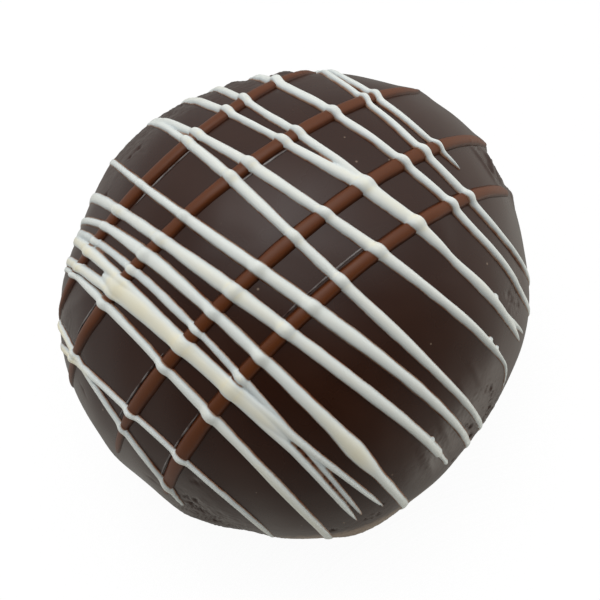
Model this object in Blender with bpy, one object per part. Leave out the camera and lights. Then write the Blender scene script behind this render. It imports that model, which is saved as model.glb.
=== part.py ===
# A drizzled dark chocolate truffle: a flattened ball resting on a flat spot, four milk
# chocolate threads laid across it and finer white chocolate threads laid over those.
# Metres, +Z up. The origin is the centre of the flat spot.

import bmesh
import bpy
import numpy as np

# The ball: an ellipsoid above its widest level and a shallower one below it, cut off flat.
BALL_RADIUS = 0.0179  # half the mean width
CROWN_HEIGHT = 0.0148  # from the widest level up to the top
WAIST_HEIGHT = 0.0099  # from the flat spot up to the widest level
UNDER_DEPTH = 0.0119  # how far the lower ellipsoid would reach without the flat cut
# The outline isn't quite round: (lobes, share of the radius, direction of one lobe in degrees).
OUTLINE_WAVES = (
    (2, 0.021, 26),
    (3, 0.015, 12),
    (4, 0.007, 2),
    (5, 0.009, 32),
    (6, 0.004, 28),
    (7, 0.006, 10),
)
BALL_SIDES = 60
LEVELS_UNDER = 7
LEVELS_CROWN = 15
CROWN_LIMIT = 87  # degrees up to the small flat facet that closes the top

# The threads
REST_GAP = 0.00015  # between a thread and what it lies on
MILK_WIDTH = 0.0011
MILK_THICKNESS = 0.00045
WHITE_WIDTH = 0.00065
WHITE_THICKNESS = 0.00045
TIP_SHARE = 0.45  # width of a thread's tip, as a share of its full width
TIP_LENGTH = 0.0015  # over which a thread narrows to its tip
DROP_LENGTH = 0.0012  # length of the drop at the end of a milk thread
PLAIN_STEP = 0.0022  # between the sections of a thread on the bare ball
HUMP_STEP = 0.00055  # between its sections where it climbs over another thread
HUMP_REACH = 0.0012  # how far from the other thread's middle the climb starts
SECTION_CORNERS = 5  # corners of a thread's section, along its rounded top
ROUTE_POINTS = 500
MM = 0.001

# Each strand fell along one pass of the hand, so seen from above it is nearly straight.
# heading: its direction from above, in degrees from +X
# offset: how far it passes to the left of the ball's axis, in mm
# bow, sway: how much its course bends one way, or in an S, out at the ball's rim, in mm
# start, end: where it begins and stops, in degrees from straight up around the ball
# width: as a share of the usual width, left out where it is 1
# drop: how much wider than the strand its end is, left out where the strand just stops
MILK_THREADS = {
    "milk_thread_1": [
        dict(heading=15.5, offset=10.8, bow=0.1, sway=0.6, start=-80, end=72),
    ],
    "milk_thread_2": [
        dict(heading=12.5, offset=5.9, bow=-0.5, sway=-0.1, start=-86, end=76, drop=1.4),
    ],
    "milk_thread_3": [
        dict(heading=14.5, offset=-0.8, bow=-0.1, sway=-0.4, start=-77, end=79, drop=1.5),
    ],
    "milk_thread_4": [
        dict(heading=15.5, offset=-5.2, bow=-0.3, sway=-0.4, start=-84, end=80, drop=1.4),
    ],
}
# Strands that ran together while soft are one thread.
WHITE_THREADS = {
    "white_thread_01": [
        dict(heading=-70, offset=14.2, bow=-0.1, sway=0, start=-68, end=28, width=0.8),
    ],
    "white_thread_02": [
        dict(heading=-72.5, offset=13.1, bow=0.6, sway=-0.3, start=-80, end=84, width=0.9),
    ],
    "white_thread_03": [
        dict(heading=-65.5, offset=11.1, bow=-0.7, sway=-1.1, start=-88, end=88),
    ],
    "white_thread_04": [
        dict(heading=-60.5, offset=7.5, bow=-0.4, sway=-1.4, start=-92, end=84, width=1.1),
        dict(heading=-65.5, offset=8.0, bow=0.5, sway=-0.4, start=-86, end=22),
    ],
    "white_thread_05": [
        dict(heading=-62.5, offset=4.4, bow=0.2, sway=-0.2, start=-90, end=86),
        dict(heading=-71.5, offset=1.8, bow=0.4, sway=0.5, start=-82, end=90),
    ],
    "white_thread_06": [
        dict(heading=-62.5, offset=-1.6, bow=1.0, sway=-1.1, start=-92, end=90),
    ],
    "white_thread_07": [
        dict(heading=-64, offset=-3.7, bow=0.3, sway=-0.1, start=-95, end=78, width=1.1),
    ],
    "white_thread_08": [
        dict(heading=-70.5, offset=-5.8, bow=-0.9, sway=0.9, start=-90, end=88, width=1.1),
    ],
    "white_thread_09": [
        dict(heading=-70.5, offset=-8.6, bow=1.1, sway=0.9, start=-92, end=77, width=1.3),
        dict(heading=-68.5, offset=-9.2, bow=-0.3, sway=-0.4, start=-72, end=78, width=1.1),
        dict(heading=-73, offset=-7.5, bow=-0.9, sway=0.5, start=-86, end=76, width=0.9),
    ],
    "white_thread_10": [
        dict(heading=-73.5, offset=-10.9, bow=-0.1, sway=0.5, start=-70, end=88, width=0.9),
    ],
    "white_thread_11": [
        dict(heading=-69, offset=-14.8, bow=0.6, sway=0.1, start=-80, end=82, width=0.9),
        dict(heading=-83.5, offset=-15.9, bow=0.8, sway=0.4, start=-68, end=72, width=0.8),
    ],
}


def material(name, color, roughness):
    made = bpy.data.materials.new(name)
    made.use_nodes = True
    shader = made.node_tree.nodes["Principled BSDF"]
    shader.inputs["Base Color"].default_value = (*color, 1)
    shader.inputs["Roughness"].default_value = roughness
    shader.inputs["Metallic"].default_value = 0
    return made


def outline_share(x, y):
    # the ball's radius in this direction as a share of the mean one
    angle = np.arctan2(y, x)
    share = np.ones_like(angle)
    for lobes, amount, direction in OUTLINE_WAVES:
        share = share + amount * np.cos(lobes * (angle - np.radians(direction)))
    return share


def depth_at(z):
    return np.where(z > WAIST_HEIGHT, CROWN_HEIGHT, UNDER_DEPTH)


def level(points):
    # 1 on the ball's surface, less inside it and more outside
    x, y, z = points.T
    across = np.hypot(x, y) / (BALL_RADIUS * outline_share(x, y))
    return np.hypot(across, (z - WAIST_HEIGHT) / depth_at(z))


def outward(points):
    # the direction in which the level rises fastest
    x, y, z = points.T
    radius = BALL_RADIUS * outline_share(x, y)
    rise = (z - WAIST_HEIGHT) / depth_at(z) ** 2
    slopes = np.stack([x / radius**2, y / radius**2, rise], axis=1)
    return slopes / np.linalg.norm(slopes, axis=1, keepdims=True)


def route(strand):
    # A strand lies in an upright sheet. From the sheet's line at waist height each angle
    # gives a ray, and halving an interval finds where that ray leaves the ball.
    angle = np.radians(np.linspace(strand["start"], strand["end"], ROUTE_POINTS))
    heading = np.radians(strand["heading"])
    along = np.array([np.cos(heading), np.sin(heading), 0])
    left = np.array([-along[1], along[0], 0])
    near = np.zeros(ROUTE_POINTS)
    far = np.full(ROUTE_POINTS, 2 * BALL_RADIUS)
    for _ in range(40):
        reach = (near + far) / 2
        forward = reach * np.sin(angle)
        share = forward / BALL_RADIUS
        aside = strand["offset"] + strand["bow"] * share**2 + strand["sway"] * share**3
        points = np.outer(forward, along) + np.outer(aside * MM, left)
        points[:, 2] = WAIST_HEIGHT + reach * np.cos(angle)
        inside = level(points) < 1
        near = np.where(inside, reach, near)
        far = np.where(inside, far, reach)
    return points


def distances_along(points):
    steps = np.linalg.norm(np.diff(points, axis=0), axis=1)
    return np.concatenate([[0], np.cumsum(steps)])


def nearest(points, others):
    return np.linalg.norm(points[:, None] - others[None], axis=2).min(axis=1)


def smooth(share):
    share = np.clip(share, 0, 1)
    return share * share * (3 - 2 * share)


def climb(points, under):
    # how far each point is lifted to pass over the strands under it
    lift = np.zeros(len(points))
    for other in under:
        rise = smooth((HUMP_REACH - nearest(points, other)) / (0.6 * HUMP_REACH))
        lift = np.maximum(lift, rise * (MILK_THICKNESS + REST_GAP))
    return lift


def width_shares(strand, run):
    # the strand's width along its run, narrowed at both tips, or wider at the end with a drop
    before_end = run[-1] - run
    share = TIP_SHARE + (1 - TIP_SHARE) * smooth(run / TIP_LENGTH)
    if "drop" in strand:
        swell = smooth(1 - np.abs(before_end - DROP_LENGTH) / DROP_LENGTH)
        share = share * (1 + (strand["drop"] - 1) * swell)
        close = smooth(2 * before_end / DROP_LENGTH)
    else:
        close = smooth(before_end / TIP_LENGTH)
    return strand.get("width", 1) * share * (TIP_SHARE + (1 - TIP_SHARE) * close)


def stations(run, lift):
    # indices of the sections, closer together at the tips and where the strand climbs
    density = np.where(lift > 0, 1 / HUMP_STEP, 1 / PLAIN_STEP)
    at_tip = np.minimum(run, run[-1] - run) < TIP_LENGTH
    density = np.where(at_tip, np.maximum(density, 2 / TIP_LENGTH), density)
    needed = np.concatenate([[0], np.cumsum(np.diff(run) * density[1:])])
    count = int(np.ceil(needed[-1])) + 1
    found = np.searchsorted(needed, np.linspace(0, needed[-1], count))
    return np.unique(found.clip(0, len(run) - 1))


def closed_mesh(name, rings):
    # one closed surface through rings of equally many points, with its two ends capped
    made = bmesh.new()
    loops = [[made.verts.new(point) for point in ring] for ring in rings]
    for lower, upper in zip(loops, loops[1:]):
        for i in range(len(lower)):
            j = (i + 1) % len(lower)
            made.faces.new((lower[i], lower[j], upper[j], upper[i]))
    made.faces.new(loops[0][::-1])
    made.faces.new(loops[-1])
    bmesh.ops.recalc_face_normals(made, faces=made.faces)
    mesh = bpy.data.meshes.new(name)
    made.to_mesh(mesh)
    made.free()
    mesh.shade_smooth()
    mesh.set_sharp_from_angle(angle=np.radians(50))
    return mesh


def add_object(name, mesh, look):
    mesh.materials.append(look)
    made = bpy.data.objects.new(name, mesh)
    bpy.context.scene.collection.objects.link(made)
    return made


def make_ball(look):
    # level rings from the flat spot up to just short of the top
    cut = np.arcsin(WAIST_HEIGHT / UNDER_DEPTH)
    under = np.linspace(-cut, 0, LEVELS_UNDER, endpoint=False)
    crown = np.linspace(0, np.radians(CROWN_LIMIT), LEVELS_CROWN)
    turn = np.linspace(0, 2 * np.pi, BALL_SIDES, endpoint=False)
    share = outline_share(np.cos(turn), np.sin(turn))
    rings = []
    for tilt in np.concatenate([under, crown]):
        radius = BALL_RADIUS * np.cos(tilt) * share
        depth = UNDER_DEPTH if tilt < 0 else CROWN_HEIGHT
        height = np.full(BALL_SIDES, WAIST_HEIGHT + depth * np.sin(tilt))
        rings.append(np.stack([radius * np.cos(turn), radius * np.sin(turn), height], axis=1))
    rings[0][:, 2] = 0
    add_object("truffle_body", closed_mesh("truffle_body", rings), look)


def strand_rings(strand, width, thickness, under):
    # half-round sections that stand on the ball's surface along the strand's route
    points = route(strand)
    up = outward(points)
    run = distances_along(points)
    lift = climb(points, under)
    share = width_shares(strand, run)
    side = np.cross(np.gradient(points, axis=0), up)
    side /= np.linalg.norm(side, axis=1, keepdims=True)
    arch = np.linspace(0, np.pi, SECTION_CORNERS)
    rings = []
    for i in stations(run, lift):
        across = np.outer(np.cos(arch) * share[i] * width / 2, side[i])
        high = np.outer(np.sin(arch) * np.sqrt(share[i]) * thickness, up[i])
        rings.append(points[i] + up[i] * (REST_GAP + lift[i]) + across + high)
    return rings


def make_thread(name, strands, width, thickness, under, look):
    # the first strand's object, joined with the others of the same thread
    objects = []
    for number, strand in enumerate(strands):
        label = name if number == 0 else f"{name}_strand_{number + 1}"
        mesh = closed_mesh(label, strand_rings(strand, width, thickness, under))
        objects.append(add_object(label, mesh, look))
    for other in objects[1:]:
        other.hide_render = True
        other.display_type = "WIRE"
        join = objects[0].modifiers.new(other.name, "BOOLEAN")
        join.operation = "UNION"
        join.object = other


def main():
    for old in list(bpy.data.objects):
        bpy.data.objects.remove(old, do_unlink=True)
    dark = material("dark_chocolate", (0.035, 0.021, 0.016), 0.35)
    milk = material("milk_chocolate", (0.125, 0.048, 0.026), 0.4)
    white = material("white_chocolate", (0.72, 0.73, 0.66), 0.4)
    make_ball(dark)
    under = []
    for name, strands in MILK_THREADS.items():
        make_thread(name, strands, MILK_WIDTH, MILK_THICKNESS, [], milk)
        under += [route(strand) for strand in strands]
    for name, strands in WHITE_THREADS.items():
        make_thread(name, strands, WHITE_WIDTH, WHITE_THICKNESS, under, white)


main()
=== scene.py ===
import bpy
import numpy as np
from mathutils import Matrix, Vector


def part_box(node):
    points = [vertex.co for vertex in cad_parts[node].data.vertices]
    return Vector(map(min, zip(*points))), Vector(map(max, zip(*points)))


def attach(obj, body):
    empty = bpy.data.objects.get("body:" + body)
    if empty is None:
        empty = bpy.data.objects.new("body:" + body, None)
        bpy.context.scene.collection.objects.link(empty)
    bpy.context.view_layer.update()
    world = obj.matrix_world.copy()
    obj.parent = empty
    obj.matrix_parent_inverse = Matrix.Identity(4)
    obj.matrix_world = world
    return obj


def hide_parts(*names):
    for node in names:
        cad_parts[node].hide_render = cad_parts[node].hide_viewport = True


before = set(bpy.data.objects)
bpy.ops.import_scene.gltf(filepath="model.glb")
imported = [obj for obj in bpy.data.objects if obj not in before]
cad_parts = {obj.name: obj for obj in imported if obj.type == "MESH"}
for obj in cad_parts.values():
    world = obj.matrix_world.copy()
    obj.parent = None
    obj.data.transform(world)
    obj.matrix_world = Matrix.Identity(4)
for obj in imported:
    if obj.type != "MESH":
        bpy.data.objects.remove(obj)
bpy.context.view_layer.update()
mm = 0.001  # shapes are worked out in millimetres and put into the meshes in metres

# the ball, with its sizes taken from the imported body
bodyLow, bodyHigh = (np.array(corner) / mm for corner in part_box("truffle_body"))
ballHeight = bodyHigh[2] - bodyLow[2]
ball = {
    "radius": 0.495 * (bodyHigh - bodyLow)[:2].mean(),  # the waves bring it out to half the body's width
    "crown": 0.5997 * ballHeight,  # from the widest level up to the top
    "waist": 0.4011 * ballHeight,  # from the flat spot up to the widest level
    "under": 0.4822 * ballHeight,  # depth of the lower half without its flat cut
    # (lobes, share of the radius, direction of one lobe in degrees)
    "waves": [(2, 0.021, 26), (3, 0.015, 12), (4, 0.007, 2), (5, 0.009, 32), (6, 0.004, 28), (7, 0.006, 10)],
}


def smooth(share):
    # an S from 0 to 1: three times the square less twice the cube
    share = np.clip(share, 0, 1)
    return share * share * (3 - 2 * share)


def bump(distance, reach):
    # a soft bell: 1 at distance 0, about a third at reach
    return np.exp(-(distance / reach) ** 2)


def outlineShare(x, y):
    # one plus a few cosine waves of the direction seen from above
    turn = np.arctan2(y, x)
    return 1 + sum(amount * np.cos(lobes * (turn - np.radians(aim))) for lobes, amount, aim in ball["waves"])


def ballLevel(points):
    # length of the vector from the middle of the waist, each axis divided by the ball's size there
    x, y, z = np.moveaxis(points, -1, 0)
    rise = z - ball["waist"]
    depth = np.where(rise > 0, ball["crown"], ball["under"])
    return np.hypot(np.hypot(x, y) / (ball["radius"] * outlineShare(x, y)), rise / depth)


def ballOutward(points):
    # unit normal of the ellipsoid: each coordinate over the square of the ball's size along it
    x, y, z = np.moveaxis(points, -1, 0)
    radius = ball["radius"] * outlineShare(x, y)
    rise = z - ball["waist"]
    depth = np.where(rise > 0, ball["crown"], ball["under"])
    slopes = np.stack([x / radius**2, y / radius**2, rise / depth**2], axis=-1)
    return slopes / np.linalg.norm(slopes, axis=-1, keepdims=True)


def ontoBall(points):
    # slides points along the line to the middle of the waist until their level is one
    middle = np.array([0, 0, ball["waist"]])
    return middle + (points - middle) / ballLevel(points)[..., None]


def placeOnBall(azimuth, tilt):
    # azimuth from +X and tilt from straight up, in degrees
    azimuth, tilt = np.radians(azimuth), np.radians(tilt)
    aim = [np.sin(tilt) * np.cos(azimuth), np.sin(tilt) * np.sin(azimuth), np.cos(tilt)]
    return ontoBall(np.stack(aim, axis=-1) + np.array([0, 0, ball["waist"]]))


def anglesOf(points):
    # azimuth from +X and tilt from straight up, in degrees, seen from the middle of the waist
    x, y, z = np.moveaxis(points, -1, 0)
    return np.degrees(np.arctan2(y, x)), np.degrees(np.arctan2(np.hypot(x, y), z - ball["waist"]))


def awayFrom(points, azimuth, tilt):
    # distance to a place on the ball
    return np.linalg.norm(points - placeOnBall(azimuth, tilt), axis=-1)


def closedGrid(rings):
    # vertices and faces of a surface through closed rings of equal length, each end closed by a fan
    rows, columns = rings.shape[:2]
    vertices = np.concatenate([rings.reshape(-1, 3), rings[0].mean(0)[None], rings[-1].mean(0)[None]])
    here = np.arange(rows * columns).reshape(rows, columns)
    beside = np.roll(here, -1, axis=1)
    quads = np.stack([here[:-1], beside[:-1], beside[1:], here[1:]], axis=-1).reshape(-1, 4)
    first = np.stack([beside[0], here[0], np.full(columns, rows * columns)], axis=-1)
    last = np.stack([here[-1], beside[-1], np.full(columns, rows * columns + 1)], axis=-1)
    return vertices, quads.tolist() + first.tolist() + last.tolist()


def meshFrom(name, vertices, faces):
    # the mesh in metres, turned right side out if its volume comes out negative
    mesh = bpy.data.meshes.new(name)
    mesh.from_pydata((vertices * mm).tolist(), [], faces)
    mesh.calc_loop_triangles()
    corners = np.empty(len(mesh.loop_triangles) * 3, np.int32)
    mesh.loop_triangles.foreach_get("vertices", corners)
    if np.linalg.det(vertices[corners].reshape(-1, 3, 3)).sum() < 0:
        mesh.flip_normals()
    mesh.shade_smooth()
    return mesh


def addPiece(name, mesh, material, nodes):
    # nodes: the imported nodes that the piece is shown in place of
    piece = bpy.data.objects.new(name, mesh)
    bpy.context.scene.collection.objects.link(piece)
    mesh.materials.append(material)
    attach(piece, "root")
    if nodes:
        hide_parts(*nodes)


def setFloats(mesh, name, values):
    attribute = mesh.attributes.new(name, "FLOAT", "POINT")
    attribute.data.foreach_set("value", np.asarray(values, np.float32))


# strands: each lies in an upright sheet draped over the ball
# heading: direction seen from above, offset: how far it passes left of the middle (mm)
# bow, sway: how far it bends one way, or in an S, at the ball's rim (mm)
# start, end: degrees around the ball from straight up
# width: (degrees, share of the usual width), and shift: (degrees, mm to the left), joined up smoothly
# cream: (degrees, how much deeper its colour is, as if this much thicker in mm)
# tall: share of the usual height, tips: length over which each end narrows (mm)
# stiff: over how many sections its top is evened out where it spans what lies below
strandForm = {
    "raySpacing": 0.15, "halvings": 40,  # degrees between the rays that find a route, and how finely
    "spacing": 0.1,  # mm between sections
    "shiftReach": 12, "tableReach": 4,  # over how many rays and sections the tables are rounded off
    "flankStart": 68, "flankSpan": 26, "backSooner": 14,  # degrees from the top where strands lie flatter
    "tips": (1.2, 1.2), "tipEnd": 0.06,  # and the share of its size that a tip's very end keeps
    # over how many sections the height crossed and the climb to it are evened out, and mm of full height
    "crossedReach": 5, "climbReach": 6, "fullCrossing": 0.45,
    # mm of half width from which a foot is full, mm of its edges under the skin, how broad the sole is
    "fullFoot": 0.2, "footDepth": 0.02, "soleShare": 0.8,
    "soleRise": 0.6,  # share of the height crossed that the sole follows
    "creamStart": 0.3,  # mm of height at which the extra cream is all there
}


def alongStrand(table, degrees, reach):
    # the table's values joined by straight lines, then rounded off over reach steps
    table = np.array(table, float)
    return softened(np.interp(degrees, table[:, 0], table[:, 1]), reach)


def route(strand):
    # each angle gives a ray in the strand's sheet, and halving finds where it leaves the ball
    degrees = np.arange(strand["start"], strand["end"], strandForm["raySpacing"])
    angle = np.radians(degrees)
    heading = np.radians(strand["heading"])
    along = np.array([np.cos(heading), np.sin(heading), 0])
    left = np.array([-along[1], along[0], 0])
    near, far = np.zeros(len(angle)), np.full(len(angle), 2 * ball["radius"])
    shift = alongStrand(strand.get("shift", [(0, 0)]), degrees, strandForm["shiftReach"])
    for _ in range(strandForm["halvings"]):
        reach = (near + far) / 2
        forward = reach * np.sin(angle)
        share = forward / ball["radius"]
        aside = strand["offset"] + strand["bow"] * share**2 + strand["sway"] * share**3 + shift
        points = np.outer(forward, along) + np.outer(aside, left)
        points[:, 2] = ball["waist"] + reach * np.cos(angle)
        inside = ballLevel(points) < 1
        near, far = np.where(inside, reach, near), np.where(inside, far, reach)
    # even steps along the line
    run = np.concatenate([[0], np.cumsum(np.linalg.norm(np.diff(points, axis=0), axis=1))])
    even = np.linspace(0, run[-1], int(run[-1] / strandForm["spacing"]) + 1)
    evenPoints = np.stack([np.interp(even, run, points[:, axis]) for axis in range(3)], axis=1)
    return ontoBall(evenPoints), even, np.interp(even, run, degrees)


def lowFlank(angle):
    # 0 over the top of the ball to 1 down its flanks, where a strand lies flatter, sooner so at the back
    down = np.where(angle < 0, strandForm["backSooner"] - angle, angle)
    return smooth((down - strandForm["flankStart"]) / strandForm["flankSpan"])


def strandSizes(strand, usual, run, angle):
    # half width and height along the strand: its table with two slow waves of a few hundredths,
    # flatter on the flanks, and a quarter circle at each tip
    seed = strand["heading"] * 3.1 + strand["offset"] * 1.7
    uneven = 0.02 * np.sin(run * 0.9 + seed) + 0.015 * np.sin(run * 2.3 + 2 * seed)
    wide = alongStrand(strand.get("width", [(0, 1)]), angle, strandForm["tableReach"]) * (1 + uneven)
    half = 0.5 * usual["width"] * wide
    tall = usual["tall"] * strand.get("tall", 1) * (0.55 + 0.45 * wide) * (1 - uneven)
    tall = tall * (1 - usual["flanks"] * lowFlank(angle))
    first, last = strand.get("tips", strandForm["tips"])
    left = np.minimum(run / first, 1)
    right = np.minimum((run[-1] - run) / last, 1)
    close = np.sqrt(1 - (1 - left) ** 2) * np.sqrt(1 - (1 - right) ** 2)
    close = strandForm["tipEnd"] + (1 - strandForm["tipEnd"]) * close
    return half * close, tall * close ** 0.8


def nearestOn(points, line):
    # index and distance of the line's nearest point, in blocks to keep the arrays small
    found, gaps = [], []
    blocks = max(1, len(points) * len(line) // 4_000_000)
    for block in np.array_split(points, blocks):
        apart = np.linalg.norm(block[:, None] - line[None], axis=2)
        found.append(apart.argmin(1))
        gaps.append(apart.min(1))
    return np.concatenate(found), np.concatenate(gaps)


def strandHeight(points, laid):
    # height of the strands already laid at these places on the ball: half an ellipse across each
    height = np.zeros(len(points))
    for line, half, tall in laid:
        index, gap = nearestOn(points, line)
        height = np.maximum(height, tall[index] * np.sqrt(np.clip(1 - (gap / half[index]) ** 2, 0, 1)))
    return height


def softened(values, reach):
    # a moving average with bell-shaped weights
    offsets = np.arange(-3 * reach, 3 * reach + 1)
    weights = bump(offsets, reach)
    padded = np.pad(values, 3 * reach, mode="edge")
    return np.convolve(padded, weights / weights.sum(), mode="valid")


def strandRings(strand, usual, laid):
    # half-round sections across the route, with a thin foot on both sides and a flat sole sunk in the ball;
    # over strands already laid the top follows their height softened along the route, the foot all of it
    line, run, angle = route(strand)
    half, tall = strandSizes(strand, usual, run, angle)
    if laid:
        over = strandHeight(line, laid)
        lift = softened(over, strand.get("stiff", usual["stiff"]))
        # drawn thin just before it climbs, swollen where it has crossed
        below = softened(over, strandForm["crossedReach"])
        climbing = softened(np.clip(np.gradient(below, run), 0, 1), strandForm["climbReach"])
        half = half * (1 - usual["drawn"] * climbing)
        half = half * (1 + usual["swollen"] * below / strandForm["fullCrossing"])
    up = ballOutward(line)
    side = np.cross(np.gradient(line, axis=0), up)
    side /= np.linalg.norm(side, axis=1, keepdims=True)
    arch = np.linspace(0, np.pi, usual["corners"])[1:-1]
    across = half[:, None] * np.cos(arch)
    high = tall[:, None] * np.sin(arch) ** usual["fullness"]
    # the foot's two edges just under the skin, then three corners of the sole; a foot is narrower at a tip
    edge = half + usual["foot"] * np.minimum(1, half / strandForm["fullFoot"])
    skin, sole = np.full(len(run), -strandForm["footDepth"]), np.full(len(run), -usual["sole"])
    corner = edge * strandForm["soleShare"]
    across = np.column_stack([edge, across, -edge, -corner, np.zeros(len(run)), corner])
    high = np.column_stack([skin, high, skin, sole, sole, sole])
    base = ontoBall(line[:, None] + side[:, None] * across[..., None])
    flat = base.reshape(-1, 3)
    lifts = np.zeros(len(flat))
    if laid:
        own = strandHeight(flat, laid)
        crest = np.clip(high / np.maximum(tall, 0.05)[:, None], 0, 1).reshape(-1) ** 0.5
        lifts = own * (1 - crest) + np.repeat(lift, across.shape[1]) * crest
        # the sole stays inside the strands below
        inSole = high.reshape(-1) < skin[0] - 0.01
        lifts = np.where(inSole, np.minimum(lifts, own * strandForm["soleRise"]), lifts)
    rings = flat + ballOutward(flat) * (relief(flat) + lifts + high.reshape(-1))[:, None]
    # body: the thickness that the colour reads, its height as if not flattened on the flanks, plus the cream
    deeper = alongStrand(strand.get("cream", [(0, 0)]), angle, strandForm["tableReach"])[:, None]
    body = np.clip(high, 0, None) / (1 - usual["flanks"] * lowFlank(angle)[:, None])
    body = body + deeper * smooth(high / strandForm["creamStart"])
    return rings.reshape(base.shape), body.reshape(-1), (line, half, tall)


# usual sizes in mm: width, tall, foot (how far it spreads at each side), sole (how deep it is sunk)
# corners: points across the arch, fullness: the arch's power of the sine, lower is fuller
# drawn, swollen: shares by which a strand narrows before a climb and widens over a crossing
# flanks: share of its height that it loses low on the ball
milk = {
    "width": 1.02, "tall": 0.37, "corners": 21, "fullness": 0.8, "foot": 0.13, "sole": 0.12, "stiff": 3,
    "drawn": 0, "swollen": 0, "flanks": 0.4,
    "strands": [
        dict(heading=15.5, offset=10.85, bow=0.08, sway=0.58, start=-80, end=74, tips=(4, 3),
             width=[(-70, 0.6), (-50, 0.9), (-30, 1.1), (40, 1.1), (60, 0.8)]),
        dict(heading=12.4, offset=5.9, bow=-0.49, sway=-0.13, start=-86, end=77, tips=(4, 4),
             width=[(-70, 0.7), (-50, 1), (50, 1.05), (62, 0.85), (76, 0.7)]),
        dict(heading=14.4, offset=-0.82, bow=-0.07, sway=-0.35, start=-81, end=84, tips=(3, 4),
             width=[(-80, 0.55), (-66, 0.6), (-60, 1), (50, 1.05), (65, 0.85), (80, 0.75)]),
        dict(heading=15.4, offset=-5.19, bow=-0.27, sway=-0.38, start=-80, end=81, tips=(2, 4),
             width=[(-78, 0.8), (-60, 1.1), (50, 0.95), (66, 0.8)]),
    ],
}

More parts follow.
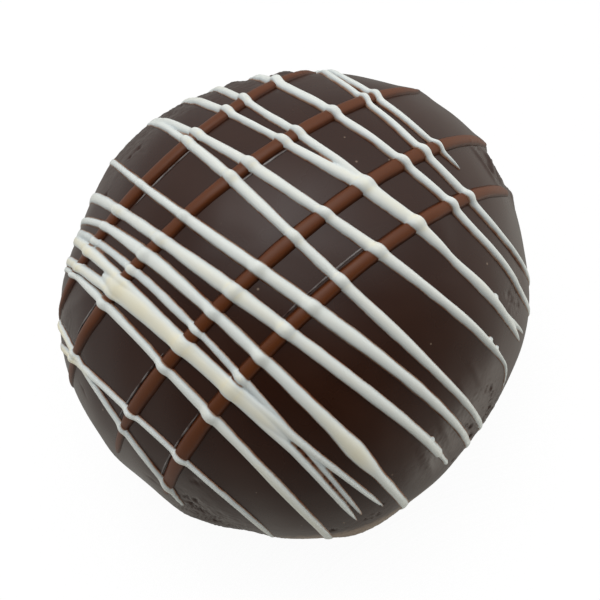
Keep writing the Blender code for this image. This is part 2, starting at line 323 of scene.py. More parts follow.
white = {
    "width": 0.68, "tall": 0.36, "corners": 19, "fullness": 0.9, "foot": 0.115, "sole": 0.1, "stiff": 3,
    "drawn": 0.25, "swollen": 0.05, "flanks": 0.7,
    # of a thread with several strands: mm between the points of its joint skin, a factor for the thickness
    # that its colour reads, then how far its top hides the milk below and its extra cream in mm
    "lattice": 0.07, "fusedShare": 1.1, "rich": {"09": (0.5, 0.12)}, "plain": (0.1, 0),
    "hideSpan": 0.2, "creamFrom": 0.3, "creamSpan": 0.2,  # mm over which the two come in
    "threads": {
        "01": [dict(heading=-69.8, offset=14.17, bow=-0.14, sway=-0.09, start=-68, end=29, tips=(2, 2),
                    width=[(-40, 0.8), (-12, 0.92), (0, 0.75), (20, 0.5), (29, 0.35)])],
        "02": [dict(heading=-72.3, offset=13.1, bow=0.63, sway=-0.32, start=-82, end=103,
                    width=[(-40, 0.75), (-24, 0.72), (5, 0.95), (30, 0.93), (52, 0.74), (60, 0.65),
                           (84, 0.55)])],
        "03": [dict(heading=-65.5, offset=11.1, bow=-0.72, sway=-1.13, start=-90, end=103,
                    width=[(-45, 1.15), (-24, 1.15), (-12, 0.95), (40, 0.98), (64, 0.78), (80, 0.7)],
                    shift=[(30, 0), (44, -0.08), (62, 0.06), (74, 0)])],
        "04": [
            dict(heading=-60.4, offset=7.45, bow=-0.44, sway=-1.43, start=-90, end=84.5, tips=(1, 2),
                 width=[(-46, 1.05), (-36, 0.8), (-24, 0.83), (-12, 1.05), (0, 1.2), (18, 1.65), (30, 1.6),
                        (44, 0.85), (57, 1.2), (66, 1), (83, 0.4)],
                 shift=[(-30, 0), (-14, -0.18), (0, -0.16), (14, 0), (30, 0), (47, -0.15), (60, 0.03)]),
            dict(heading=-65.6, offset=8.01, bow=0.46, sway=-0.44, start=-86, end=22,
                 width=[(-52, 0.93), (-36, 0.85), (-27, 0.92), (-20, 0.82), (-12, 1)],
                 shift=[(-30, 0), (-16, 0.08), (-2, 0.08), (12, 0)]),
            # the fork at its lower end, and a nub beside it
            dict(heading=-60.4, offset=7.45, bow=-0.44, sway=-1.43, start=63, end=86.5, tips=(1, 2),
                 width=[(64, 0.6), (76, 0.5), (85, 0.35)],
                 shift=[(66, 0.08), (71, 0.17), (76, 0.4), (85, 0.72)]),
            dict(heading=-60.4, offset=7.83, bow=-0.44, sway=-1.43, start=62, end=64.4, tips=(0.4, 0.4),
                 width=[(63, 0.5)]),
        ],
        "05": [
            # it thins into a curl at its lower end
            dict(heading=-62.4, offset=4.33, bow=0.19, sway=-0.2, start=-92, end=90, tips=(1, 3),
                 width=[(-50, 0.88), (-35, 1), (-14, 1.3), (8, 1.05), (22, 1.45), (34, 1.12), (55, 1),
                        (66, 0.8), (76, 0.45), (90, 0.35)],
                 shift=[(-25, 0.03), (0, -0.14), (24, -0.14), (45, -0.06), (60, 0.04), (80, -0.06),
                        (86, -0.55), (90, -1.65)]),
            dict(heading=-71.5, offset=1.82, bow=0.39, sway=0.53, start=-84, end=104,
                 width=[(-52, 0.75), (-36, 1.1), (-20, 1.3), (0, 1.1), (20, 1.13), (36, 1.28), (50, 1.08),
                        (64, 0.8), (84, 0.7)],
                 shift=[(-26, 0.05), (5, -0.08), (25, -0.08), (45, 0.03), (70, 0.08)]),
            dict(heading=-62.4, offset=4.66, bow=0.19, sway=-0.2, start=66, end=68, tips=(0.35, 0.35),
                 width=[(67, 0.45)]),
            dict(heading=-62.4, offset=4.58, bow=0.19, sway=-0.2, start=70, end=71.8, tips=(0.35, 0.35),
                 width=[(71, 0.4)]),
        ],
        "06": [dict(heading=-62.7, offset=-1.55, bow=0.97, sway=-1.13, start=-92, end=105,
                    width=[(-58, 0.7), (-45, 0.86), (-30, 0.95), (-20, 1.2), (6, 1.4), (33, 1.5), (48, 1.15),
                           (56, 1.2), (74, 0.86), (90, 0.8)],
                    shift=[(-30, 0), (5, -0.12), (28, -0.2), (45, -0.12), (58, 0), (74, 0.11)])],
        "07": [
            dict(heading=-63.8, offset=-3.66, bow=0.3, sway=-0.14, start=-95, end=78.5, tips=(1, 0.5),
                 width=[(-62, 1.2), (-50, 1.12), (-36, 1.25), (-24, 1.28), (-14, 1.58), (0, 1.7), (14, 1.55),
                        (24, 1.3), (34, 1.38), (60, 1.1), (79, 0.95)],
                 shift=[(-60, 0.08), (-48, 0), (-14, -0.2), (20, -0.29), (42, -0.23), (68, 0)],
                 cream=[(35, 0), (48, 0.14), (60, 0.1)]),
            # a nub beside its blunt end, and the crumb dragged out of it
            dict(heading=-63.8, offset=-3.28, bow=0.3, sway=-0.14, start=69.6, end=71.6, tips=(0.35, 0.35),
                 width=[(70, 0.45)]),
            dict(heading=-63.8, offset=-3.66, bow=0.3, sway=-0.14, start=77.5, end=86.5, tips=(0.4, 0.8),
                 width=[(78, 0.6), (82, 0.42), (84, 0.65), (87, 0.3)]),
        ],
        "08": [dict(heading=-70.5, offset=-5.79, bow=-0.92, sway=0.88, start=-92, end=105,
                    width=[(-60, 0.8), (-52, 0.84), (-38, 1.18), (-26, 1.5), (-8, 1.25), (2, 1.15),
                           (28, 1.3), (46, 1.45), (55.5, 1.95), (60, 1.7), (66, 1.1), (80, 0.92)],
                    shift=[(-60, 0.05), (-50, 0.12), (-36, -0.02), (-5, -0.11), (20, -0.03), (46, 0.08),
                           (72, 0.05)],
                    cream=[(36, 0), (48, 0.16), (58, 0.2), (66, 0.02)])],
        # two strands and the broad band that they ran together into over the top, and a thin one beside them
        "09": [
            dict(heading=-70.6, offset=-8.6, bow=1.16, sway=0.87, start=-92, end=80, tips=(1, 3), stiff=7,
                 width=[(-62, 1.15), (-48, 1.3), (0, 0.9), (36, 1.05), (44, 0.9), (56, 0.7), (72, 0.55),
                        (80, 0.35)],
                 shift=[(36, 0), (44, -0.1)]),
            dict(heading=-68.4, offset=-9.25, bow=-0.32, sway=-0.36, start=-84, end=81, tips=(1, 3), stiff=7,
                 width=[(-62, 1), (-48, 1.15), (0, 0.9), (36, 0.95), (52, 0.8), (70, 0.62), (81, 0.3)],
                 shift=[(34, 0.02), (45, 0.13), (62, 0.02)]),
            dict(heading=-69.5, offset=-8.93, bow=0.42, sway=0.25, start=-40.5, end=43, tall=0.9,
                 tips=(4, 4), stiff=7,
                 width=[(-41, 1.6), (-36, 2.1), (-24, 2.35), (-8, 2.05), (4, 1.75), (34, 1.75), (43, 1.4)]),
            dict(heading=-72.9, offset=-7.52, bow=-0.95, sway=0.47, start=-88, end=79, tall=0.65,
                 tips=(1, 3),
                 width=[(-50, 0.78), (-22, 0.95), (-8, 1), (3, 0.65), (20, 0.9), (30, 0.7), (60, 0.56),
                        (79, 0.46)]),
        ],
        "10": [dict(heading=-73.5, offset=-10.81, bow=-0.14, sway=0.54, start=-78, end=105,
                    width=[(-60, 0.6), (-40, 0.95), (-30, 1.1), (-8, 0.9), (8, 1), (21, 1.2), (42, 0.95),
                           (54, 1.07), (76, 0.92)],
                    shift=[(-50, 0.09), (-20, 0.04), (14, -0.06), (40, 0)],
                    cream=[(20, 0.03), (45, 0.16)])],
        "11": [
            dict(heading=-69.2, offset=-14.71, bow=0.58, sway=0.12, start=-82, end=103,
                 width=[(-50, 0.9), (-12, 0.76), (0, 0.65), (20, 0.72), (32, 0.62), (76, 0.6), (90, 0.5)]),
            dict(heading=-83.3, offset=-15.79, bow=0.8, sway=0.4, start=-68, end=76, tips=(1, 3),
                 width=[(-20, 0.75), (14, 0.74), (58, 0.7), (75, 0.6)],
                 shift=[(10, 0), (58, 0.18), (70, 0.12)]),
        ],
    },
}

# low wrinkles of the dark skin where the milk strands pulled at it as they set; their pale grey colour is a
# painted highlight
ripples = {
    "width": 0.16, "tall": 0.08, "corners": 13, "fullness": 0.9, "foot": 0, "sole": 0.06, "stiff": 3,
    "drawn": 0, "swollen": 0, "flanks": 0,
    "strands": [
        dict(heading=15.5, offset=10.1, bow=0.08, sway=0.58, start=-22, end=8, tips=(2, 2)),
        dict(heading=12.4, offset=5.15, bow=-0.49, sway=-0.13, start=4, end=26, tips=(2, 2)),
        dict(heading=15.4, offset=-4.4, bow=-0.27, sway=-0.38, start=-14, end=24, tips=(3, 3)),
        dict(heading=15.4, offset=-4.5, bow=-0.27, sway=-0.38, start=-72, end=-46, tips=(2, 2)),
        dict(heading=14.4, offset=-0.1, bow=-0.07, sway=-0.35, start=-66, end=-40, tips=(2, 2)),
        dict(heading=12.4, offset=6.6, bow=-0.49, sway=-0.13, start=-62, end=-40, tips=(2, 2)),
    ],
}


def fused(surfaces, lattice):
    # the closed surfaces as one skin: rebuilt on a lattice with points this far apart, then evened out
    vertices, faces = [], []
    for points, cells in surfaces:
        shift = sum(len(part) for part in vertices)
        vertices.append(points)
        faces += [[corner + shift for corner in cell] for cell in cells]
    mesh = bpy.data.meshes.new("fused")
    mesh.from_pydata(np.concatenate(vertices).tolist(), [], faces)
    holder = bpy.data.objects.new("fused", mesh)
    bpy.context.scene.collection.objects.link(holder)
    skin = holder.modifiers.new("skin", "REMESH")
    skin.mode = "VOXEL"
    skin.voxel_size = lattice
    even = holder.modifiers.new("even", "SMOOTH")
    even.factor = 0.5
    even.iterations = 6
    graph = bpy.context.evaluated_depsgraph_get()
    made = bpy.data.meshes.new_from_object(holder.evaluated_get(graph))
    points = np.empty(len(made.vertices) * 3)
    made.vertices.foreach_get("co", points)
    cells = [list(face.vertices) for face in made.polygons]
    bpy.data.objects.remove(holder)
    bpy.data.meshes.remove(mesh)
    bpy.data.meshes.remove(made)
    return points.reshape(-1, 3), cells


def newMaterial(name):
    material = bpy.data.materials.new(name)
    material.use_nodes = True
    tree = material.node_tree
    return material, tree.nodes, tree.links, tree.nodes["Principled BSDF"]


def addNoise(nodes, links, vector, scale, detail):
    noise = nodes.new("ShaderNodeTexNoise")
    noise.inputs["Scale"].default_value = scale
    noise.inputs["Detail"].default_value = detail
    links.new(vector, noise.inputs["Vector"])
    return noise.outputs["Fac"]


def addAttribute(nodes, name):
    attribute = nodes.new("ShaderNodeAttribute")
    attribute.attribute_name = name
    return attribute.outputs["Fac"]


def addRamp(nodes, links, value, stops):
    # stops: (position, colour)
    ramp = nodes.new("ShaderNodeValToRGB")
    elements = ramp.color_ramp.elements
    while len(elements) < len(stops):
        elements.new(0.5)
    for element, (position, color) in zip(elements, stops):
        element.position = position
        element.color = (*color, 1)
    links.new(value, ramp.inputs["Fac"])
    return ramp.outputs["Color"]


def addRange(nodes, links, value, low, high, newLow, newHigh):
    spread = nodes.new("ShaderNodeMapRange")
    for socket, number in zip(("From Min", "From Max", "To Min", "To Max"), (low, high, newLow, newHigh)):
        spread.inputs[socket].default_value = number
    links.new(value, spread.inputs["Value"])
    return spread.outputs["Result"]


def addMath(nodes, links, kind, first, second):
    made = nodes.new("ShaderNodeMath")
    made.operation = kind
    for socket, value in zip(made.inputs, (first, second)):
        if isinstance(value, (int, float)):
            socket.default_value = value
        else:
            links.new(value, socket)
    return made.outputs["Value"]


def addBump(nodes, links, height, strength, distance):
    made = nodes.new("ShaderNodeBump")
    made.inputs["Strength"].default_value = strength
    made.inputs["Distance"].default_value = distance
    links.new(height, made.inputs["Height"])
    return made.outputs["Normal"]


def addBlend(nodes, links, share, under, over):
    # the colour of the socket under, mixed with the fixed colour over by this share
    blend = nodes.new("ShaderNodeMix")
    blend.data_type = "RGBA"
    links.new(share, blend.inputs["Factor"])
    links.new(under, blend.inputs[6])
    blend.inputs[7].default_value = (*over, 1)
    return blend.outputs[2]


# scales of noise are in waves per metre, colours are linear
bumpHeight = 0.00001  # metres
cloudSpan = (0.3, 0.7)  # where most of a noise's values lie
darkLooks = {
    "color": (0.0225, 0.005, 0.0006), "paler": (0.028, 0.0068, 0.0012), "clouds": 160, "grain": 4500,
    "smoothest": 0.2, "roughest": 0.37, "ior": 1.36, "bump": 0.25,
    "speck": (0.2, 0.14, 0.1), "specksPerMetre": 480, "speckSize": 0.05, "speckCore": 0.6,
    "speckShare": 0.85,
    # the pale grey of the wrinkles and the scale of its clouds: a painted highlight
    "ridgeHighlight": (0.2, 0.185, 0.18), "ridgeHighlightClouds": 900,
    "bare": (0.26, 0.18, 0.12),  # a beige strip low on the front
}


def darkChocolate():
    # set dark couverture: nearly black brown, a satin skin with fine grain and a few pale specks of dust
    material, nodes, links, shader = newMaterial("dark chocolate")
    place = nodes.new("ShaderNodeTexCoord").outputs["Object"]
    cloud = addNoise(nodes, links, place, darkLooks["clouds"], 4)
    fineGrain = addNoise(nodes, links, place, darkLooks["grain"], 2)
    tint = addRamp(nodes, links, cloud, [(0.35, darkLooks["color"]), (0.7, darkLooks["paler"])])
    specks = nodes.new("ShaderNodeTexVoronoi")
    specks.inputs["Scale"].default_value = darkLooks["specksPerMetre"]
    links.new(place, specks.inputs["Vector"])
    size = darkLooks["speckSize"]
    core = darkLooks["speckCore"] * size
    dust = addRange(nodes, links, specks.outputs["Distance"], core, size, darkLooks["speckShare"], 0)
    dusted = addBlend(nodes, links, dust, tint, darkLooks["speck"])
    # the beige strip low on the front, mixed over the dark
    withStrip = addBlend(nodes, links, addAttribute(nodes, "bare"), dusted, darkLooks["bare"])
    links.new(withStrip, shader.inputs["Base Color"])
    rough = addRange(nodes, links, cloud, *cloudSpan, darkLooks["smoothest"], darkLooks["roughest"])
    links.new(rough, shader.inputs["Roughness"])
    links.new(addBump(nodes, links, fineGrain, darkLooks["bump"], bumpHeight), shader.inputs["Normal"])
    shader.inputs["IOR"].default_value = darkLooks["ior"]
    return material


def highlightedChocolate():
    # the dark skin with a pale grey painted highlight, as on the wrinkles beside the milk strands
    material, nodes, links, shader = newMaterial("dark chocolate with painted highlight")
    place = nodes.new("ShaderNodeTexCoord").outputs["Object"]
    cloud = addNoise(nodes, links, place, darkLooks["ridgeHighlightClouds"], 3)
    # clouds between the paler dark and the painted highlight
    ridgeHighlight = addRamp(nodes, links, cloud, [(0.35, darkLooks["paler"]), (0.65, darkLooks["ridgeHighlight"])])
    links.new(ridgeHighlight, shader.inputs["Base Color"])
    shader.inputs["Roughness"].default_value = darkLooks["smoothest"]
    shader.inputs["IOR"].default_value = darkLooks["ior"]
    return material


# stops: (thickness in mm, colour), drift: mm by which the clouds shift that thickness
milkLooks = {
    # dark where the shell shows through its foot, a little paler where thick
    "stops": [(0.0, (0.034, 0.0075, 0.0008)), (0.07, (0.055, 0.012, 0.0008)), (0.18, (0.083, 0.018, 0.001)),
              (0.34, (0.098, 0.0235, 0.002))],
    "clouds": 500, "drift": 0.05, "grain": 5000, "bump": 0.2, "rough": 0.42, "ior": 1.35,
}
whiteLooks = {
    # brown where the dark shows through its foot, bluish where thin, cream where thick
    "stops": [(0.0, (0.13, 0.034, 0.01)), (0.06, (0.3, 0.19, 0.125)), (0.15, (0.52, 0.57, 0.58)),
              (0.28, (0.68, 0.72, 0.70)), (0.42, (0.705, 0.73, 0.69)), (0.56, (0.745, 0.745, 0.65)),
              (0.76, (0.78, 0.74, 0.57))],
    "clouds": 700, "drift": 0.04, "grain": 6000, "bump": 0.15, "rough": 0.42, "ior": 1.4,
}


def strandChocolate(name, looks):
    # milk or white couverture, coloured by the strand's own thickness
    material, nodes, links, shader = newMaterial(name)
    place = nodes.new("ShaderNodeTexCoord").outputs["Object"]
    cloud = addNoise(nodes, links, place, looks["clouds"], 3)
    fineGrain = addNoise(nodes, links, place, looks["grain"], 2)
    drift = addRange(nodes, links, cloud, *cloudSpan, -looks["drift"], looks["drift"])
    thickness = addMath(nodes, links, "ADD", addAttribute(nodes, "body"), drift)
    links.new(addRamp(nodes, links, thickness, looks["stops"]), shader.inputs["Base Color"])
    links.new(addBump(nodes, links, fineGrain, looks["bump"], bumpHeight), shader.inputs["Normal"])
    shader.inputs["Roughness"].default_value = looks["rough"]
    shader.inputs["IOR"].default_value = looks["ior"]
    return material


shell = {
    # spacing of the grid in degrees, coarse over the plain parts and fine round the marked flanks
    "coarse": 1.75, "fine": 0.43,
    "fineAzimuths": [(54, 128), (-82, -50), (-124, -86), (-36, -28), (-146, -128), (-5, 12), (156, 172)],
    "fineTilts": [(54, 99)],
    # the facet: azimuths and tilts between which the skin lies flat, leaving a crease; its ends fade
    "facet": {"azimuths": (76, 132), "tilts": (61, 74), "depth": 0.07, "fade": 18},
    # (azimuth, tilt, reach in mm, depth in mm) of pits, a negative depth for a grain that stands out;
    # then how much deeper all of them are, and how far the grain bends their edges
    "pitDepth": 1.4, "pitBend": 0.45,
    "pits": [
        (110.5, 59, 0.2, 0.1), (114, 60, 0.15, 0.08), (112, 49, 0.1, 0.05), (111, 55, 0.15, 0.06),
        (118, 56, 0.18, 0.08), (117, 53, 0.12, 0.06), (127.5, 60.5, 0.2, 0.08), (8, 74, 0.15, 0.06),
        (-56, 77.5, 0.2, 0.08), (-54.5, 80, 0.22, 0.09), (-55, 82.5, 0.2, 0.08), (-58, 87.5, 0.3, 0.12),
        (-57, 84, 0.15, 0.1), (-58.5, 90, 0.25, 0.14), (-66.5, 88, 0.3, 0.22), (-65.5, 83, 0.2, 0.12),
        (-66, 80, 0.15, 0.1), (-63, 88.5, 0.22, 0.12), (-74, 89, 0.2, 0.12), (-32, 71.5, 0.25, 0.06),
        (-33, 73.5, 0.2, 0.06), (-33, 78, 0.25, 0.06), (-142, 76.5, 0.2, 0.1), (-139.5, 76, 0.15, 0.08),
        (-141, 79, 0.22, 0.12), (-138.5, 80.5, 0.25, 0.14), (-135, 85, 0.25, 0.14), (-132, 87, 0.22, 0.12),
        (-151.5, 77.5, 0.2, 0.1), (-107, 84.5, 0.2, 0.12), (-94, 79, 0.15, 0.08), (-99, 83, 0.12, 0.08),
        (-97.5, 84, 0.1, -0.06), (-96, 83.5, 0.12, 0.08), (-97, 82, 0.1, -0.05), (-95.5, 82.5, 0.1, 0.07),
        (-179.5, 73.5, 0.2, 0.1), (-139.5, 68, 0.3, 0.05),
    ],
    # the same, wide and shallow, where the hand-rolled ball falls short of its smooth form or stands out
    "swells": [
        (93.5, 68, 1.0, -0.1), (84, 66, 0.9, -0.08), (104, 66, 1.1, -0.06), (143, 74, 0.8, -0.06),
        (64, 74, 0.9, -0.26), (78, 73.5, 0.7, -0.22), (70.5, 74, 0.6, 0.12), (57.5, 74.5, 1.0, 0.18),
        (30.5, 79, 1.1, -0.24), (11, 84.5, 0.8, -0.28), (7, 85.5, 1.1, 0.42), (3.5, 86.5, 1.1, 0.32),
        (-2, 87.5, 0.7, -0.2), (150, 78.5, 1.8, -0.16), (118, 75, 1.8, -0.1), (-104, 94, 1.4, -0.12),
        (-144, 91.5, 1.3, -0.12), (-167, 88, 1.4, -0.1), (-88, 94.5, 2.6, 0.22), (-128, 93, 1.7, 0.22),
        (-156, 89.5, 1.5, 0.2), (-46, 93, 2.4, 0.14), (-30, 78, 1.6, 0.08), (-16, 46, 2.4, -0.06),
        (-20, 53, 1.6, 0.07),
    ],
    # the beige strip low on the front: its middle and half its size in degrees, how much of the beige shows
    # at most,
    # and how soft and how ragged its edge is, as shares of half its size
    "beigeZone": {"azimuth": -103, "tilt": 91.5, "wide": 16, "tall": 4, "most": 0.85, "soft": 0.9, "ragged": 0.3},
    # heights in mm up to which nothing stands out, and from there up to all of it
    "calm": 0.2, "calmSpan": 1.5,
    # where the skin is crumbly: (azimuth, tilt, reach in mm, height in mm)
    "patches": [
        (-60, 87, 2.9, 0.07), (-138, 84, 2.8, 0.08), (108, 70, 4, 0.04), (90, 70, 3.5, 0.05),
        (66, 72, 3, 0.05), (4, 82, 2.6, 0.07), (-100, 96, 4, 0.04), (-128, 95, 3, 0.05),
        (-32, 75, 1.6, 0.04), (-76, 78, 3, 0.015), (164, 74, 2.5, 0.03),
    ],
    # ridges left by a fold: azimuth and tilt of both ends, reach and height in mm
    "folds": [
        (9, 70.5, -2, 74.5, 0.28, 0.15), (8.5, 76, -2.5, 79.5, 0.3, 0.15), (4, 73.5, -1, 77, 0.3, -0.13),
        (7, 77, -2, 75.5, 0.28, 0.14), (-13, 47, -26, 49, 0.8, 0.08), (160, 56, 160, 74, 0.5, 0.06),
        (170, 57, 169, 74, 0.5, 0.06), (-60, 66, -64, 84, 0.35, 0.07), (-70, 66, -73, 84, 0.4, 0.07),
        (-54, 66, -57, 80, 0.3, 0.06), (-79, 68, -80, 84, 0.45, 0.06), (-46, 66, -48, 82, 0.7, 0.06),
    ],
}


def grain(points):
    # two crossed trains of waves under a millimetre long, each bent by slower ones so that no row shows
    x, y, z = np.moveaxis(points, -1, 0)
    first = np.sin(7.1 * x + 3.3 * y - 5.2 * z + 2 * np.sin(2.9 * x - 4.1 * z))
    second = np.sin(8.3 * y - 4.7 * x + 2.6 * z + 2 * np.sin(3.7 * y + 2.2 * z + 1.3))
    third = np.sin(9.7 * z - 6.1 * y + 11.3 * x + 2 * np.sin(5.1 * x + 4.3 * y))
    return 0.6 * first * second + 0.4 * first * third


def relief(points):
    # how far the skin stands out from the smooth ball, in mm: waves some 7 mm long and a tenth of one high,
    # finer ones of 3 mm, then swells, pits, grain, folds and the facet
    x, y, z = np.moveaxis(points, -1, 0)
    height = 0.025 * np.sin(0.9 * x + 1.3) * np.sin(0.8 * y + 0.4)
    height = height + 0.025 * np.sin(0.7 * x - 0.9 * y + 0.8 * z)
    ripple = np.sin(1.9 * x + 0.7 * y + np.sin(0.8 * y)) * np.sin(1.6 * y - 0.5 * x + 1.2 * z)
    height = height + 0.006 * ripple
    crumbly = grain(points)
    for around, down, reach, depth in shell["swells"]:
        height = height - depth * bump(awayFrom(points, around, down), reach)
    for around, down, reach, depth in shell["pits"]:
        # the grain bends a pit's edge, so that none is a neat round hole
        bent = awayFrom(points, around, down) * (1 + shell["pitBend"] * crumbly)
        height = height - shell["pitDepth"] * depth * bump(bent, reach)
    for around, down, reach, tall in shell["patches"]:
        height = height + tall * crumbly * bump(awayFrom(points, around, down), reach)
    for around1, down1, around2, down2, reach, tall in shell["folds"]:
        first, last = placeOnBall(around1, down1), placeOnBall(around2, down2)
        share = np.clip((points - first) @ (last - first) / ((last - first) @ (last - first)), 0, 1)
        away = np.linalg.norm(points - first - share[..., None] * (last - first), axis=-1)
        height = height + tall * bump(away, reach) * np.sin(np.pi * np.clip(share, 0.04, 0.96)) ** 0.5
    # a parabola across the facet, fading towards both ends
    facet = shell["facet"]
    azimuth, tilt = anglesOf(points)
    near, far = facet["azimuths"]
    low, high = facet["tilts"]
    across = (2 * tilt - low - high) / (high - low)
    within = smooth((azimuth - near) / facet["fade"]) * smooth((far - azimuth) / facet["fade"])
    return height - facet["depth"] * np.clip(1 - across**2, 0, 1) * within


def unevenSteps(start, end, fineSpans):
    # angles from start to end; over 2 degrees outside each span their spacing shrinks from coarse to fine
    dense = np.linspace(start, end, 4000)
    fine = sum(smooth((dense - low + 2) / 2) * smooth((high + 2 - dense) / 2) for low, high in fineSpans)
    perDegree = 1 / shell["coarse"] + np.clip(fine, 0, 1) * (1 / shell["fine"] - 1 / shell["coarse"])
    count = np.concatenate([[0], np.cumsum((perDegree[1:] + perDegree[:-1]) / 2 * np.diff(dense))])
    return np.interp(np.linspace(0, count[-1], int(count[-1])), count, dense)


def shellRings():
    # level rings around the ball, from just off the top down to the flat spot
    turn = np.radians(unevenSteps(-180, 180, shell["fineAzimuths"])[:-1])
    cut = 90 + np.degrees(np.arcsin(ball["waist"] / ball["under"]))
    tilts = np.radians(unevenSteps(0.5, cut, shell["fineTilts"]))
    depth = np.where(tilts < np.pi / 2, ball["crown"], ball["under"])
    radius = ball["radius"] * outlineShare(np.cos(turn), np.sin(turn))
    x = np.outer(np.sin(tilts), radius * np.cos(turn))
    y = np.outer(np.sin(tilts), radius * np.sin(turn))
    z = np.outer(ball["waist"] + depth * np.cos(tilts), np.ones(len(turn)))
    return np.stack([x, y, z], axis=-1)


def beigeShare(points):
    # how much beige is laid over the dark: an ellipse in azimuth and tilt, with a soft edge that the grain
    # makes uneven
    beigeZone = shell["beigeZone"]
    azimuth, tilt = anglesOf(points)
    away = np.hypot((azimuth - beigeZone["azimuth"]) / beigeZone["wide"], (tilt - beigeZone["tilt"]) / beigeZone["tall"])
    inside = 1 + beigeZone["soft"] / 2 - away
    return beigeZone["most"] * smooth((inside + beigeZone["ragged"] * grain(points)) / beigeZone["soft"])


def makeShell():
    vertices, faces = closedGrid(shellRings())
    shown = smooth((vertices[:, 2] - shell["calm"]) / shell["calmSpan"])
    vertices = vertices + ballOutward(vertices) * (relief(vertices) * shown)[:, None]
    print("shell", len(faces), "faces")
    mesh = meshFrom("dark_shell", vertices, faces)
    setFloats(mesh, "bare", beigeShare(vertices))
    addPiece("dark_shell", mesh, darkChocolate(), ["truffle_body"])


def makeRipples():
    # the wrinkles are coloured with a painted highlight
    material = highlightedChocolate()
    for number, strand in enumerate(ripples["strands"], 1):
        rings = strandRings(strand, ripples, [])[0]
        name = f"dark_ripple_{number}"
        addPiece(name, meshFrom(name, *closedGrid(rings)), material, [])


def makeMilk():
    # also gives back the routes and sizes that the white strands climb over
    material = strandChocolate("milk chocolate", milkLooks)
    laid = []
    for number, strand in enumerate(milk["strands"], 1):
        rings, body, sizes = strandRings(strand, milk, [])
        laid.append(sizes)
        name = f"milk_drizzle_{number}"
        mesh = meshFrom(name, *closedGrid(rings))
        setFloats(mesh, "body", np.append(body, [0, 0]))
        addPiece(name, mesh, material, [f"milk_thread_{number}"])
    return laid


def bodyOf(vertices, laid, number):
    # thickness of a fused thread: height over the skin and the milk below, as if not flatter on the flanks
    onSkin = ontoBall(vertices)
    above = (ballLevel(vertices) - 1) * np.linalg.norm(vertices - [0, 0, ball["waist"]], axis=1)
    above = above - relief(onSkin)
    under = strandHeight(onSkin, laid)
    hides, richer = white["rich"].get(number, white["plain"])
    body = above - under * (1 - hides * smooth((above - under) / white["hideSpan"]))
    # a tilt is negative at the back, as along a strand
    tilt = anglesOf(vertices)[1] * np.where(vertices[:, 1] > 0, -1, 1)
    body = white["fusedShare"] * body / (1 - white["flanks"] * lowFlank(tilt))
    return body + richer * smooth((body - white["creamFrom"]) / white["creamSpan"])


def makeWhite(laid):
    material = strandChocolate("white chocolate", whiteLooks)
    for number, strands in white["threads"].items():
        made = [strandRings(strand, white, laid) for strand in strands]
        surfaces = [closedGrid(rings) for rings, *_ in made]
        name = f"white_drizzle_{number}"
        if len(made) == 1:
            vertices, faces = surfaces[0]
            body = np.append(made[0][1], [0, 0])
        else:
            vertices, faces = fused(surfaces, white["lattice"])
            body = bodyOf(vertices, laid, number)
        mesh = meshFrom(name, vertices, faces)
        setFloats(mesh, "body", np.clip(body, 0, 1))
        addPiece(name, mesh, material, [f"white_thread_{number}"])
        print("white strand", number, len(mesh.polygons), "faces")


studio = {
    # the camera's angles in degrees, distance and aim in mm
    "elevation": 73, "roll": -27.5, "distance": 155, "aim": (0, 0, 10.8), "lens": 122.4,
    "shift": (0.01, -0.0033),
    # round white panels all about the table: (azimuth, elevation, tightness, strength), a tighter one being
    # smaller; the ones below the table's level stand for the light that its top throws back
    "panels": [
        (78, 60, 14, 2.05), (88, 56, 40, 0.7), (20, 68, 10, 1.1), (22, 42, 4, 0.52), (82, 42, 4, 0.26),
        (0, 8, 4, 0.46), (45, 8, 4, 0.33), (90, 8, 4, 0.34), (135, 8, 4, 0.52), (180, 8, 4, 0.25),
        (225, 8, 4, 0.1), (120, -45, 8, 0.25), (190, -46, 12, 0.24), (308, -44, 60, 1.5), (0, -28, 4, 0.72),
        (180, -28, 4, 0.24), (225, -28, 4, 0.32), (270, -28, 4, 0.25), (315, -28, 4, 0.38),
    ],
    "tableTint": (1, 0.97, 0.88),
    "floorColor": 0.1, "floorGlow": 0.93, "floorReach": 0.5, "backdropHeight": 1.2,  # lengths in metres
}


def addCamera():
    # it looks down at the aim from the front, turned about its own axis by the roll
    lens = bpy.data.cameras.new("view")
    lens.lens = studio["lens"]
    lens.shift_x, lens.shift_y = studio["shift"]
    lens.clip_start = 0.01
    camera = bpy.data.objects.new("view", lens)
    bpy.context.scene.collection.objects.link(camera)
    tilt, roll = np.radians(studio["elevation"]), np.radians(studio["roll"])
    ahead = np.array([0, np.cos(tilt), -np.sin(tilt)])
    right, up = np.array([1, 0, 0]), np.array([0, np.sin(tilt), np.cos(tilt)])
    across = np.cos(roll) * right + np.sin(roll) * up
    above = -np.sin(roll) * right + np.cos(roll) * up
    axes = Matrix(np.column_stack([across, above, -ahead]).tolist()).to_4x4()
    place = (np.array(studio["aim"]) - ahead * studio["distance"]) * mm
    camera.matrix_world = Matrix.Translation(place.tolist()) @ axes
    bpy.context.scene.camera = camera


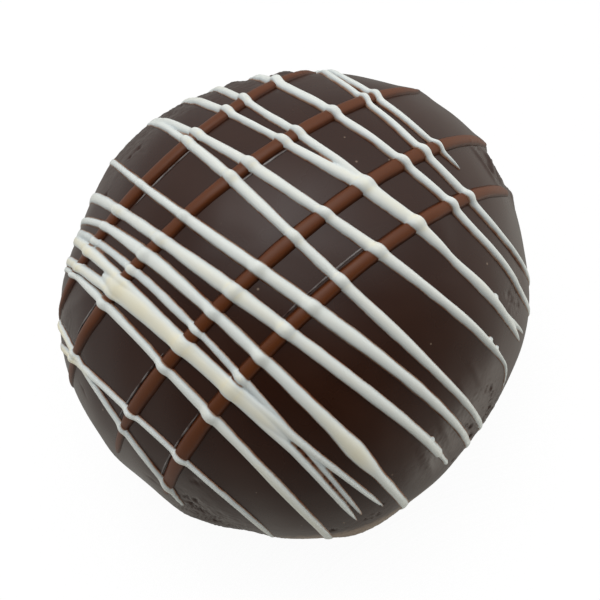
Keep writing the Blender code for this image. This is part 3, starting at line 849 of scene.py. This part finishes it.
def addWorld():
    # each panel adds strength times e to the power of tightness times (cosine of the angle to it - 1)
    world = bpy.data.worlds.new("studio")
    bpy.context.scene.world = world
    world.use_nodes = True
    nodes, links = world.node_tree.nodes, world.node_tree.links
    direction = nodes.new("ShaderNodeTexCoord").outputs["Generated"]
    total = None
    for azimuth, elevation, tightness, strength in studio["panels"]:
        turn, rise = np.radians(azimuth), np.radians(elevation)
        facing = nodes.new("ShaderNodeVectorMath")
        facing.operation = "DOT_PRODUCT"
        level = np.cos(rise)
        facing.inputs[1].default_value = (level * np.cos(turn), level * np.sin(turn), np.sin(rise))
        links.new(direction, facing.inputs[0])
        near = addMath(nodes, links, "SUBTRACT", facing.outputs["Value"], 1)
        near = addMath(nodes, links, "MULTIPLY", near, tightness)
        glow = nodes.new("ShaderNodeVectorMath")
        glow.operation = "SCALE"
        tint = studio["tableTint"] if elevation < 0 else (1, 1, 1)
        glow.inputs[0].default_value = np.multiply(strength, tint)
        links.new(addMath(nodes, links, "EXPONENT", near, 0), glow.inputs["Scale"])
        if total is None:
            total = glow.outputs["Vector"]
            continue
        added = nodes.new("ShaderNodeVectorMath")
        links.new(total, added.inputs[0])
        links.new(glow.outputs["Vector"], added.inputs[1])
        total = added.outputs["Vector"]
    links.new(total, nodes["Background"].inputs["Color"])


def addStage(name, heights, reaches, color, glow):
    # a white surface turned about the vertical through these heights and reaches in metres; only the camera
    # sees it, so that the light comes from the panels alone
    turn = np.linspace(0, 2 * np.pi, 64, endpoint=False)
    rings = np.stack([np.outer(reaches, np.cos(turn)), np.outer(reaches, np.sin(turn)),
                      np.outer(heights, np.ones(len(turn)))], axis=-1)
    vertices, faces = closedGrid(rings)
    mesh = bpy.data.meshes.new(name)
    mesh.from_pydata(vertices.tolist(), [], faces)
    stage = bpy.data.objects.new(name, mesh)
    bpy.context.scene.collection.objects.link(stage)
    material, nodes, links, shader = newMaterial(name)
    shader.inputs["Base Color"].default_value = (color, color, color, 1)
    shader.inputs["Roughness"].default_value = 1
    shader.inputs["Specular IOR Level"].default_value = 0
    shader.inputs["Emission Color"].default_value = (1, 1, 1, 1)
    shader.inputs["Emission Strength"].default_value = glow
    mesh.materials.append(material)
    stage.visible_diffuse = False
    stage.visible_glossy = False
    stage.visible_shadow = False


def addFloor():
    # a round table top, and a glowing dome above it
    reach = studio["floorReach"]
    reaches = np.array([0.001, 0.1, reach])
    addStage("floor", np.zeros(3), reaches, studio["floorColor"], studio["floorGlow"])
    rise = np.linspace(0, np.pi / 2 - 0.01, 12)
    addStage("backdrop", studio["backdropHeight"] * np.sin(rise), reach * np.cos(rise) ** 0.5, 0.0, 1.0)


bpy.context.scene.view_settings.view_transform = "Standard"
makeShell()
makeRipples()
print("dark chocolate made")
laid = makeMilk()
print("milk chocolate made")
makeWhite(laid)
print("white chocolate made")
addCamera()
addWorld()
addFloor()
